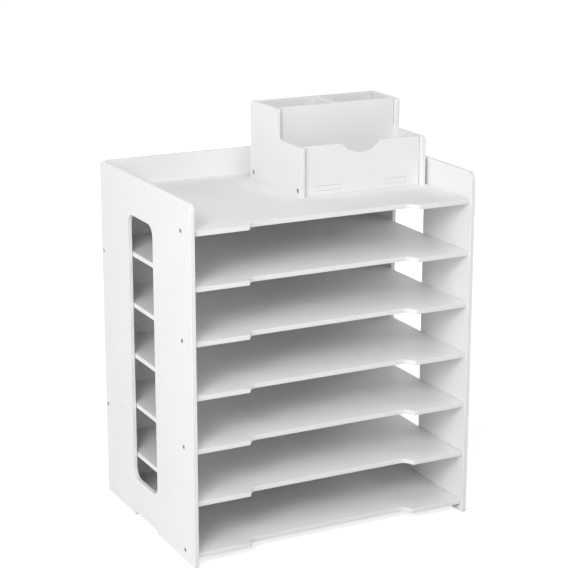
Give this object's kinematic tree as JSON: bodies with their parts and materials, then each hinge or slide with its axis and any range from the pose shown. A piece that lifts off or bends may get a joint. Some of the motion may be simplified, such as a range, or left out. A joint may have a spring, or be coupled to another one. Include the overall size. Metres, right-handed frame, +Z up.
{
  "type": "desk file organizer",
  "caption": "Open desk file organizer of flat white boards, with windowed side panels, notched letter shelves and a loose stepped pen caddy on its top shelf.",
  "frame": {"origin": "centre of the footprint, on the desk", "axes": "+Z up, +X to the right and +Y to the back as seen by a person facing the open front"},
  "size_m": [0.33, 0.241, 0.4436],
  "materials": {
    "white_board": "matte white foamed plastic board with paler cut edges",
    "screw_steel": "plain zinc-plated steel"
  },
  "bodies": {
    "carcass": {"left_side_panel": "white_board", "right_side_panel": "white_board", "bottom_shelf": "white_board", "shelf_1": "white_board", "shelf_2": "white_board", "shelf_3": "white_board", "shelf_4": "white_board", "shelf_5": "white_board", "top_shelf": "white_board", "upper_back_board": "white_board", "lower_back_board": "white_board", "left_shelf_screws": "screw_steel", "right_shelf_screws": "screw_steel", "left_back_screws": "screw_steel", "right_back_screws": "screw_steel"},
    "caddy": {"caddy_left_side": "white_board", "caddy_right_side": "white_board", "caddy_front_panel": "white_board", "caddy_middle_panel": "white_board", "caddy_back_panel": "white_board", "caddy_floor": "white_board", "caddy_divider": "white_board", "caddy_left_screws": "screw_steel", "caddy_right_screws": "screw_steel"}
  },
  "joints": [
    {"name": "caddy_lift", "type": "slide", "parent": "carcass", "child": "caddy", "axis": [0, 0, 1], "range_m": [0, 0.12]}
  ]
}
